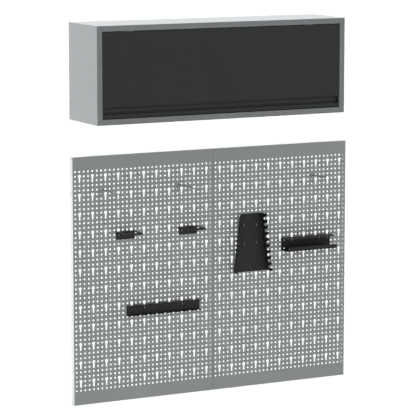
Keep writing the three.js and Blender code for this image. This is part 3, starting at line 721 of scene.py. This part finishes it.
def build_spanner_holder(node):
    low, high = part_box(node)
    middle, rise, reach = (low.x + high.x) / 2, high.z - low.z, high.y - low.y
    bottom_half = high.x - middle - SPANNER_FLARE
    slope = (bottom_half - SPANNER_TOP_HALF) / rise
    out = Vector((1, slope)).normalized()

    def flange(depth, height, radius):
        """A point of the right flange, by its distance from the plate's back and its height."""
        edge = Vector((SPANNER_TOP_HALF + slope * (rise - height), height))
        place = edge + out * (ARC + depth - 2 * LOSS)
        return place.x, place.y, radius

    right = [flange(LOSS - ARC, rise, 0), flange(reach, rise, 2 * MM)]
    for i in range(SPANNER_SLOTS):
        mouth = rise - SPANNER_FIRST - i * SPANNER_PITCH
        floor = mouth - SPANNER_FALL
        right += [flange(reach, mouth, TOOTH_ROUND), flange(reach - SPANNER_DEPTH, floor, FLOOR_ROUND),
                  flange(reach - SPANNER_DEPTH, floor - SPANNER_FLOOR, FLOOR_ROUND),
                  flange(reach, mouth - SPANNER_MOUTH, TOOTH_ROUND)]
    right += [flange(reach, 0, 0), flange(LOSS - ARC, 0, 0)]
    left = [(-u, v, radius) for u, v, radius in reversed(right)]
    outline = rounded(right + left)
    slots, places = tenon_slots(node)
    holes = [circle((0, 13 * MM), SCREW_HOLE, 16), circle((0, rise - 13 * MM), SCREW_HOLE, 16)]
    line = Vector((bottom_half, 0)) - out * LOSS
    folds = [Fold(line, out), Fold((-line.x, line.y), (-out.x, out.y))]
    mesh = cut_plate(node, outline, holes + slots, PLATE, plate_frame(node), folds)
    for vertex in mesh.vertices:
        beyond = high.y - vertex.co.y - PLATE
        if beyond > 0:
            vertex.co.x += math.copysign(SPANNER_FLARE * beyond / reach, vertex.co.x - middle)
    soften(add_piece(node, mesh), 0.25 * MM)


def build_holders():
    builders = {"plier_holder_left": build_plier_holder, "plier_holder_right": build_plier_holder,
                "screwdriver_rack": build_screwdriver_rack, "spanner_holder": build_spanner_holder,
                "drill_tray": build_drill_tray}
    for node, build in builders.items():
        build(node)
        for stud in studs_of(node):
            build_stud(stud)


# ---------------------------------------------------------------- wire hooks
WIRE = 2.3 * MM
HOOK_LEG = 25 * MM
HOOK_TAIL = 11 * MM
HOOK_BEND = 5 * MM         # radius of the bend behind the panel
HOOK_LIFT = 22 * MM        # and of the raised tip
HOOK_CURL = 60             # degrees that the tip turns up
HOOK_END = 3 * MM          # straight wire past it


def build_hook(node):
    """A wire from its tail behind the panel, out to the raised tip, with a leg down the panel's face."""
    low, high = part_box(node)
    origin = Vector(((low.x + high.x) / 2, 0, low.z + HOOK_LEG))
    matrix = axes(origin, -Y, Z, X)
    behind = -high.y + WIRE
    tip = -low.y - 1.6 * MM
    bend, lift, curl = HOOK_BEND, HOOK_LIFT, HOOK_CURL
    path = [(behind, HOOK_TAIL), (behind, bend)]
    path += arc((behind + bend, bend), bend, 180, 270, 8)[1:]
    reach = tip - lift
    path += [(behind + bend + (reach - behind - bend) * i / 12, 0) for i in range(1, 12)]
    rise = arc((reach, lift), lift, -90, curl - 90, 12)
    path += rise
    end = Vector(rise[-1])
    ahead = Vector((math.cos(math.radians(curl)), math.sin(math.radians(curl))))
    path.append(tuple(end + ahead * HOOK_END))
    wire = swept(node, path, WIRE, matrix)
    front = -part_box("pegboard_left")[0].y + WIRE + 0.4 * MM
    leg = swept(node, [(front, -HOOK_LEG + WIRE), (front, -HOOK_LEG / 2), (front, -WIRE / 2)],
                WIRE * 0.98, matrix)
    add_piece(node, combined(wire, leg, "UNION"))


def build_hooks():
    for node in ("hook_long", "hook_medium", "hook_short"):
        build_hook(node)


# ---------------------------------------------------------------- door handle
RIB_DEPTH = 7.5 * MM
RIB_FOOT = 22 * MM
RIB_TOP = 35 * MM
LIP_TOP = 15.5 * MM
LIP_WALL = 2 * MM
GROOVE = 9 * MM
CAP_CORNER = 1.2 * MM


def handle_outline(depth, height):
    """Section of the finger pull: a groove, a middle rib and a deeper groove behind the foot's lip."""
    wall, step, soft, small, hollow = 1.5 * MM, 1 * MM, 1.5 * MM, 0.5 * MM, 1.4 * MM
    return rounded([
        (0, height, small), (0, height - wall, small), (GROOVE, height - wall, hollow),
        (GROOVE, RIB_TOP + step, hollow), (RIB_DEPTH, RIB_TOP, soft), (RIB_DEPTH, RIB_FOOT, soft),
        (GROOVE, RIB_FOOT - step, hollow), (GROOVE, wall, hollow), (LIP_WALL, wall, small),
        (LIP_WALL, LIP_TOP - LIP_WALL, small), (0, LIP_TOP, small), (0, 0, soft),
        (depth, 0, small), (depth, wall, small), (GROOVE + wall, wall, small),
        (GROOVE + wall, RIB_FOOT + wall - step, small), (RIB_DEPTH + wall, RIB_FOOT + wall, small),
        (RIB_DEPTH + wall, RIB_TOP - wall, small), (GROOVE + wall, RIB_TOP - wall + step, small),
        (GROOVE + wall, height, small)])


def build_handle():
    node = "door_handle_profile"
    low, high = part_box(node)
    size = high - low
    mesh = cut_plate(node, handle_outline(size.y, size.z), [], size.x, axes(low, Y, Z, X))
    soften(add_piece(node, mesh), 0.15 * MM)
    for node in ("door_cap_left", "door_cap_right"):
        low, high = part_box(node)
        size = high - low
        outline = rectangle(0, 0, size.y, size.z, CAP_CORNER)
        mesh = cut_plate(node, outline, [], size.x, axes(low, Y, Z, X))
        soften(add_piece(node, mesh), 0.5 * MM)


def build_bumpers():
    """Rubber buttons on the upstand behind the door's lower edge."""
    for node in ("bumper_left", "bumper_right"):
        low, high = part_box(node)
        middle = centre_of(node)
        radius, height = (high.x - low.x) / 2, high.y - low.y
        profile = [(0, 0), (radius, 0), (radius, height * 0.45), (radius * 0.94, height * 0.7),
                   (radius * 0.78, height * 0.88), (radius * 0.5, height * 0.98), (0, height)]
        matrix = axes(Vector((middle.x, high.y, middle.z)), X, -Z, -Y)
        add_piece(node, turned(node, profile, matrix))


# ---------------------------------------------------------------- bolts and nuts
BOLT_HEAD = 5.2 * MM
BOLT_HEAD_HEIGHT = 2.4 * MM
BOLT_SHANK = 2.9 * MM
THREAD_PITCH = 1 * MM
THREAD_DEPTH = 0.3 * MM
SOCKET = 2.0 * MM          # hexagon socket, centre to corner
NUT_BORE = 3.1 * MM


def hexagon(radius, turn=30):
    return [(radius * math.cos(math.radians(60 * i + turn)), radius * math.sin(math.radians(60 * i + turn)))
            for i in range(6)]


def build_bolt(node):
    """A button-head screw along +X with a hexagon socket and a threaded shank."""
    low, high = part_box(node)
    length = high.x - low.x
    matrix = axes(Vector((low.x, centre_of(node).y, centre_of(node).z)), Y, Z, X)
    head = BOLT_HEAD_HEIGHT
    profile = [(0, 0), (0.4 * BOLT_HEAD, 0)] + [
        (BOLT_HEAD * (0.4 + 0.6 * math.sin(math.radians(a))), head * 0.8 * (1 - math.cos(math.radians(a))))
        for a in (18, 36, 54, 72, 90)]
    profile += [(BOLT_HEAD, head), (BOLT_SHANK, head)]
    turns = int((length - head - 1.5 * MM) / THREAD_PITCH)
    for i in range(turns):
        start = head + (i + 1) * THREAD_PITCH
        profile += [(BOLT_SHANK, start), (BOLT_SHANK - THREAD_DEPTH, start + THREAD_PITCH / 2)]
    profile += [(BOLT_SHANK - 2 * THREAD_DEPTH, length), (0, length)]
    socket = cut_plate(node, hexagon(SOCKET), [], 1.5 * MM, matrix @ Matrix.Translation((0, 0, -0.2 * MM)))
    add_piece(node, combined(turned(node, profile, matrix), socket, "DIFFERENCE"))


def build_nut(node):
    """A hexagon nut with both faces chamfered."""
    low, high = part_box(node)
    height, corner = high.x - low.x, (high.z - low.z) / 2
    matrix = axes(Vector((low.x, centre_of(node).y, centre_of(node).z)), Y, Z, X)
    blank = cut_plate(node, hexagon(corner), [circle((0, 0), NUT_BORE, 24)], height, matrix)
    cone = corner * 0.9
    chamfer = turned(node, [(0, -MM), (cone - 2 * MM, -MM), (cone, 0), (corner + MM, MM),
                            (corner + MM, height - MM), (cone, height), (cone - 2 * MM, height + MM),
                            (0, height + MM)], matrix)
    soften(add_piece(node, combined(blank, chamfer, "INTERSECT")), 0.12 * MM)


def build_fasteners():
    for kind in ("edge", "joining"):
        for level in ("upper", "lower"):
            build_bolt(f"{kind}_bolt_{level}")
            build_nut(f"{kind}_nut_{level}")


# ---------------------------------------------------------------- gas stays
EYE_RADIUS = 6.5 * MM
EYE_BORE = 3.4 * MM
EYE_HALF = 3 * MM
NECK_HALF = 4 * MM
CYLINDER = 6.5 * MM
CYLINDER_START, CYLINDER_END = 10 * MM, 96 * MM
CYLINDER_BORE = 3.3 * MM
BORE_START = 14 * MM
ROD = 2.8 * MM
ROD_START = 17 * MM
COLLAR = 4.2 * MM
SCREW_HEAD = 3.2 * MM
SCREW_HEAD_HEIGHT = 1.7 * MM


def screw_head(name, place, out):
    """A low round screw head that stands out of a face, sunk a little into it."""
    side = Vector((out.y, out.z, out.x))
    matrix = axes(place - out * 0.3 * MM, side, out.cross(side), out)
    r, h = SCREW_HEAD, SCREW_HEAD_HEIGHT
    profile = [(0, 0), (r, 0), (r, 0.45 * h), (0.88 * r, 0.72 * h), (0.62 * r, 0.93 * h), (0.35 * r, h),
               (0.3 * r, 0.5 * h), (0, 0.5 * h)]
    return turned(name, profile, matrix, 20)


def joined(first, *others):
    for other in others:
        first = combined(first, other, "UNION")
    return first


def stay_eye(name, pivot, along, neck):
    """A flat eye with a neck, in the stay's plane. The neck runs from the pivot along the stay."""
    side = math.degrees(math.asin(NECK_HALF / EYE_RADIUS))
    outline = arc((0, 0), EYE_RADIUS, 90 + side, 450 - side, 20)
    outline += [(NECK_HALF, neck), (-NECK_HALF, neck)]
    matrix = axes(pivot - X * EYE_HALF, along.cross(X), along, X)
    return cut_plate(name, outline, [circle((0, 0), EYE_BORE, 20)], 2 * EYE_HALF, matrix)


def build_stay(side):
    joints = {joint["name"]: joint for joint in frame["joints"]}
    pivot = Vector(joints[f"stay_swing_{side}"]["pos_m"])
    along = Vector(joints[f"stay_extend_{side}"]["axis"]).normalized()
    matrix = axes(pivot, X, along.cross(X), along)
    low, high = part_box(f"stay_rod_{side}")
    length = (Vector((0, low.y + EYE_RADIUS, low.z + EYE_RADIUS)) - Vector((0, pivot.y, pivot.z))).length

    node = f"stay_cylinder_{side}"
    start, end = CYLINDER_START, CYLINDER_END
    tube = turned(node, [
        (0, start), (0.8 * CYLINDER, start), (CYLINDER, start + 1.5 * MM), (CYLINDER, end - 8 * MM),
        (0.9 * CYLINDER, end - 7 * MM), (0.9 * CYLINDER, end - 6.2 * MM), (CYLINDER, end - 5.2 * MM),
        (CYLINDER, end - 1.6 * MM), (0.75 * CYLINDER, end), (CYLINDER_BORE, end),
        (CYLINDER_BORE, BORE_START), (0, BORE_START)], matrix)
    eye = stay_eye(node, pivot, along, start + MM)
    soften(add_piece(node, combined(tube, eye, "UNION")), 0.3 * MM)

    node = f"stay_rod_{side}"
    far = pivot + along * length
    shaft = turned(node, [
        (0, ROD_START), (0.8 * ROD, ROD_START), (ROD, ROD_START + 0.6 * MM), (ROD, CYLINDER_END + 1.5 * MM),
        (COLLAR - 0.4 * MM, CYLINDER_END + 1.5 * MM), (COLLAR, CYLINDER_END + 1.9 * MM),
        (COLLAR, length - 4 * MM), (0, length - 4 * MM)], matrix)
    eye = stay_eye(node, far, -along, 6.5 * MM)
    soften(add_piece(node, combined(shaft, eye, "UNION")), 0.25 * MM)
    return pivot, far


def build_body_bracket(side, pivot):
    """A screwed base on the cabinet's side with a turned boss and the pin for the stay's eye."""
    node = f"stay_body_bracket_{side}"
    low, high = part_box(node)
    inward = X if side == "left" else -X
    wall = Vector((low.x if side == "left" else high.x, pivot.y, pivot.z))
    matrix = axes(wall, Y, Z, inward)
    half_y, half_z, reach = (high.y - low.y) / 2, (high.z - low.z) / 2, high.x - low.x
    sheet = 1.8 * MM
    base = cut_plate(node, rectangle(-half_y, -half_z, half_y, half_z, 5 * MM), [], sheet, matrix)
    pin, boss = 2.9 * MM, 6.5 * MM
    shoulder, groove = reach - 9 * MM, reach - 1.2 * MM
    post = turned(node, [
        (0, sheet / 2), (boss + MM, sheet / 2), (boss + MM, sheet + 0.8 * MM), (boss, sheet + 1.6 * MM),
        (boss, shoulder - 0.8 * MM), (boss - 0.8 * MM, shoulder), (pin, shoulder), (pin, groove),
        (pin - 0.5 * MM, groove), (pin - 0.5 * MM, groove + 0.5 * MM), (pin, groove + 0.5 * MM),
        (pin - 0.3 * MM, reach), (0, reach)], matrix)
    heads = [screw_head(node, wall + inward * sheet + Y * offset, inward)
             for offset in (-12.5 * MM, 12.5 * MM)]
    soften(add_piece(node, joined(base, post, *heads)), 0.2 * MM)


def build_door_bracket(side, pivot):
    """A folded bracket on the door's inner face, with the pivot's boss on its ear."""
    node = f"stay_door_bracket_{side}"
    low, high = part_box(node)
    outward = -X if side == "left" else X
    inner = high.x if side == "left" else low.x
    width, half = high.x - low.x, (high.z - low.z) / 2
    origin = Vector((inner, low.y, pivot.z))
    ear = 8 * MM
    fold = width - LOSS
    tip = fold + ARC + (high.y - low.y) - LOSS
    step = fold - 2.5 * MM
    outline = rounded([(0, -half, 3 * MM), (step, -half, 3 * MM), (step, -ear, 1 * MM), (tip, -ear, 7 * MM),
                       (tip, ear, 7 * MM), (step, ear, 1 * MM), (step, half, 3 * MM), (0, half, 3 * MM)])
    plate = cut_plate(node, outline, [], PLATE, axes(origin, outward, Z, Y), [Fold((fold, 0), (1, 0))])
    outer = Vector((inner, pivot.y, pivot.z)) + outward * (width + MM)
    profile = [(0, 0), (3 * MM, 0), (3.8 * MM, 0.4 * MM), (3.8 * MM, 1.1 * MM),
               (2.5 * MM, 1.1 * MM), (2.5 * MM, 2.4 * MM), (5 * MM, 2.4 * MM),
               (5 * MM, 3.6 * MM), (4.6 * MM, 4 * MM), (0, 4 * MM)]
    boss = turned(node, profile, axes(outer, Y, Z, -outward))
    heads = [screw_head(node, origin + Y * PLATE + outward * 8 * MM + Z * offset, Y)
             for offset in (-9.5 * MM, 9.5 * MM)]
    soften(add_piece(node, joined(plate, boss, *heads)), 0.2 * MM)


def build_stays():
    for side in ("left", "right"):
        pivot, far = build_stay(side)
        build_body_bracket(side, pivot)
        build_door_bracket(side, far)


# ---------------------------------------------------------------- hinges
KNUCKLE = 4.5 * MM
PIN = 2 * MM
PIN_BORE = 2.4 * MM
LEAF_HALF = 17 * MM
GAP_HALF = 9.5 * MM        # half the room between the two outer knuckles
ARM_LOW, ARM_HIGH = -3.5 * MM, 1.5 * MM
ARM_SHEET = 1.5 * MM
ARM_FORWARD = 26 * MM      # from the fixed leaf's back edge to its arm
LEAF_CORNER = 4 * MM


def build_body_leaf(side, axis):
    """The fixed leaf: two outer knuckles, an arm bent up behind the door, and a flange under the top."""
    node = f"hinge_body_leaf_{side}"
    low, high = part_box(node)
    back = high.y - ARM_FORWARD - axis.y
    top, reach = high.z - axis.z, high.y - axis.y
    meets_high = math.degrees(math.asin(ARM_HIGH / KNUCKLE))
    meets_low = 360 - math.degrees(math.asin(-ARM_LOW / KNUCKLE))
    corners = [(u, v, 0) for u, v in arc((0, 0), KNUCKLE, meets_high, meets_low, 18)]
    corners += [(back, ARM_LOW, 2.5 * MM), (back, top - ARM_SHEET, 1 * MM), (reach, top - ARM_SHEET, 0),
                (reach, top, 0), (back - ARM_SHEET, top, 2.5 * MM), (back - ARM_SHEET, ARM_HIGH, 1 * MM)]
    place = axis - X * LEAF_HALF
    bore = circle((0, 0), PIN_BORE, 16)
    leaf = cut_plate(node, rounded(corners), [bore], 2 * LEAF_HALF, axes(place, Y, Z, X))
    room = rectangle(-KNUCKLE - MM, -8 * MM, 7 * MM, 8 * MM)
    gap = cut_plate(node, room, [], 2 * GAP_HALF, axes(axis - X * GAP_HALF, Y, Z, X))
    half = (high.x - low.x) / 2
    flange = rectangle(-half, back, half, reach, LEAF_CORNER)
    base = axes(Vector((axis.x, axis.y, high.z - ARM_SHEET * 0.96)), X, Y, Z)
    plate = cut_plate(node, flange, [], ARM_SHEET * 0.92, base)
    heads = [screw_head(node, Vector((axis.x + offset, axis.y + back + 14 * MM, high.z - ARM_SHEET)), -Z)
             for offset in (-12 * MM, 12 * MM)]
    soften(add_piece(node, joined(combined(leaf, gap, "DIFFERENCE"), plate, *heads)), 0.15 * MM)


def build_door_leaf(side, axis):
    """The moving leaf: a middle knuckle on a plate that is screwed to the door's inner face."""
    node = f"hinge_door_leaf_{side}"
    low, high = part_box(node)
    half = 9 * MM
    front = low.y - axis.y
    meets = math.degrees(math.asin(4 * MM / KNUCKLE))
    corners = [(front, -6 * MM, 0), (-0.5 * MM, -6 * MM, 1 * MM)]
    corners += [(u, v, 0) for u, v in arc((0, 0), KNUCKLE, -80, 180 - meets, 18)]
    corners += [(front, 4 * MM, 1 * MM)]
    knuckle = cut_plate(node, rounded(corners), [circle((0, 0), PIN_BORE, 16)], 2 * half,
                        axes(axis - X * half, Y, Z, X))
    wide, foot, head = (high.x - low.x) / 2, low.z - axis.z, -5.5 * MM
    outline = rectangle(-wide, foot, wide, head, LEAF_CORNER)
    sheet = 1.3 * MM
    matrix = axes(Vector((axis.x, low.y + sheet, axis.z)), X, Z, -Y)
    plate = cut_plate(node, outline, [], sheet * 0.98, matrix)
    heads = [screw_head(node, Vector((axis.x + across, low.y + sheet, axis.z + height)), Y)
             for across in (-15 * MM, 15 * MM) for height in (-31 * MM, -15 * MM)]
    soften(add_piece(node, joined(knuckle, plate, *heads)), 0.15 * MM)


def build_hinge_pin(side, axis):
    node = f"hinge_pin_{side}"
    low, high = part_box(node)
    length = high.x - low.x
    profile = [(0, 0), (2.2 * MM, 0), (2.8 * MM, 0.5 * MM), (2.8 * MM, 1.2 * MM), (PIN, 1.6 * MM),
               (PIN, length - 1.6 * MM), (2.8 * MM, length - 1.2 * MM), (2.8 * MM, length - 0.5 * MM),
               (2.2 * MM, length), (0, length)]
    add_piece(node, turned(node, profile, axes(Vector((low.x, axis.y, axis.z)), Y, Z, X), 20))


def build_hinges():
    for side in ("left", "right"):
        axis = centre_of(f"hinge_pin_{side}")
        build_body_leaf(side, axis)
        build_door_leaf(side, axis)
        build_hinge_pin(side, axis)


# ---------------------------------------------------------------- cabinet back
HANG_X = 420 * MM
HANG_Z = 130 * MM
HANG_HEAD = 8 * MM
HANG_SLOT = 4 * MM
HANG_END = 20 * MM         # slot end below the head's centre


def build_cabinet_back():
    """The back sheet with two hanging keyholes above and two screw holes below."""
    node = "cabinet_back"
    low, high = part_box(node)
    holes = []
    neck = math.degrees(math.acos(HANG_SLOT / HANG_HEAD))
    for x in (-HANG_X, HANG_X):
        holes.append(arc((x, HANG_Z), HANG_HEAD, -neck, 180 + neck, 24)
                     + arc((x, HANG_Z - HANG_END + HANG_SLOT), HANG_SLOT, 180, 360, 12))
        holes.append(circle((x, -HANG_Z), HANG_SLOT, 24))
    outline = rectangle(low.x, low.z, high.x, high.z)
    mesh = cut_plate(node, outline, holes, high.y - low.y, axes(Vector((0, high.y, 0)), X, Z, -Y))
    soften(add_piece(node, mesh), 0.2 * MM)


# ---------------------------------------------------------------- camera, light, floor
LENS = 198.3               # millimetres on a 36 mm sensor
CAMERA_PLACE = Vector((-4.002, -7.871, 0.754))
CAMERA_HEADING = math.radians(27.31)
CAMERA_DOWN = math.radians(8.44)
FLOOR_BELOW = 0.85         # the board's lower edge stands this far above the floor
FLOOR_HALF = 150
FLOOR_GLOW = 0.06
HORIZON_LIGHT = 1.3        # studio walls, brighter than the ceiling
ZENITH_LIGHT = 0.2
SUN_POWER = 11.3
SUN_SPREAD = math.radians(12)
SUN_DIRECTION = Vector((0.38, -0.12, -0.917))
RIM_DISTANCE = 0.12
RIM_POWER = 0.9


def build_camera():
    data = bpy.data.cameras.new("camera")
    data.lens = LENS
    data.sensor_width = 36
    data.clip_end = 300
    camera = bpy.data.objects.new("camera", data)
    bpy.context.scene.collection.objects.link(camera)
    camera.location = CAMERA_PLACE
    look = Vector((math.sin(CAMERA_HEADING) * math.cos(CAMERA_DOWN),
                   math.cos(CAMERA_HEADING) * math.cos(CAMERA_DOWN), -math.sin(CAMERA_DOWN)))
    camera.rotation_mode = "QUATERNION"
    camera.rotation_quaternion = look.to_track_quat("-Z", "Y")
    bpy.context.scene.camera = camera


def build_world():
    """Studio light all round, strongest at the horizon."""
    world = bpy.data.worlds.new("studio")
    world.use_nodes = True
    tree = world.node_tree
    height = tree.nodes.new("ShaderNodeSeparateXYZ")
    tree.links.new(tree.nodes.new("ShaderNodeTexCoord").outputs["Generated"], height.inputs["Vector"])
    fade = tree.nodes.new("ShaderNodeMapRange")
    fade.inputs["To Min"].default_value = HORIZON_LIGHT
    fade.inputs["To Max"].default_value = ZENITH_LIGHT
    tree.links.new(height.outputs["Z"], fade.inputs["Value"])
    tree.nodes["Background"].inputs["Color"].default_value = (1, 1, 1, 1)
    tree.links.new(fade.outputs["Result"], tree.nodes["Background"].inputs["Strength"])
    bpy.context.scene.world = world
    bpy.context.scene.view_settings.view_transform = "Standard"


def build_sun():
    sun = bpy.data.lights.new("key", "SUN")
    sun.energy = SUN_POWER
    sun.angle = SUN_SPREAD
    lamp = bpy.data.objects.new("key", sun)
    bpy.context.scene.collection.objects.link(lamp)
    lamp.rotation_mode = "QUATERNION"
    lamp.rotation_quaternion = SUN_DIRECTION.to_track_quat("-Z", "Y")


def build_rim_light():
    """A narrow strip beside the pegboard, level with its depth, that brightens its left edge."""
    low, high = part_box("pegboard_left")
    strip = bpy.data.lights.new("rim", "AREA")
    strip.shape = "RECTANGLE"
    strip.size = high.z - low.z
    strip.size_y = high.y - low.y
    strip.energy = RIM_POWER
    lamp = bpy.data.objects.new("rim", strip)
    bpy.context.scene.collection.objects.link(lamp)
    lamp.matrix_world = axes(Vector((low.x - RIM_DISTANCE, *((low + high) / 2).yz)), Z, Y, -X)
    lamp.visible_camera = False


def build_floor():
    n = Nodes("floor")
    n.link(n.blend(n.noise(2, 2), (0.235, 0.235, 0.235), (0.25, 0.25, 0.25)),
           n.shader.inputs["Base Color"])
    n.shader.inputs["Roughness"].default_value = 0.9
    n.shader.inputs["Emission Color"].default_value = (1, 1, 1, 1)
    n.shader.inputs["Emission Strength"].default_value = FLOOR_GLOW
    z = CAD_BOX[0].z - FLOOR_BELOW
    mesh = bpy.data.meshes.new("floor")
    corners = [(x, y, z) for x, y in rectangle(-FLOOR_HALF, -FLOOR_HALF, FLOOR_HALF, FLOOR_HALF)]
    mesh.from_pydata(corners, [], [(0, 1, 2, 3)])
    mesh.materials.append(n.material)
    floor = bpy.data.objects.new("floor", mesh)
    bpy.context.scene.collection.objects.link(floor)


# ---------------------------------------------------------------- CAD nodes that stay
def finish_cad_nodes():
    """Materials for every CAD node, and rounded edges for those that stay in view."""
    for name, node in frame["nodes"].items():
        node.data.materials.clear()
        node.data.materials.append(SLOTS[SLOT_OF[name]])
        if node.hide_render:
            continue
        weld = node.modifiers.new("weld", "WELD")
        weld.merge_threshold = 1e-6
        soften(node, 0.5 * MM)


build_camera()
build_world()
build_sun()
build_rim_light()
build_floor()
build_panels()
build_holders()
build_hooks()
build_handle()
build_bumpers()
build_fasteners()
build_stays()
build_hinges()
build_cabinet_back()
finish_cad_nodes()
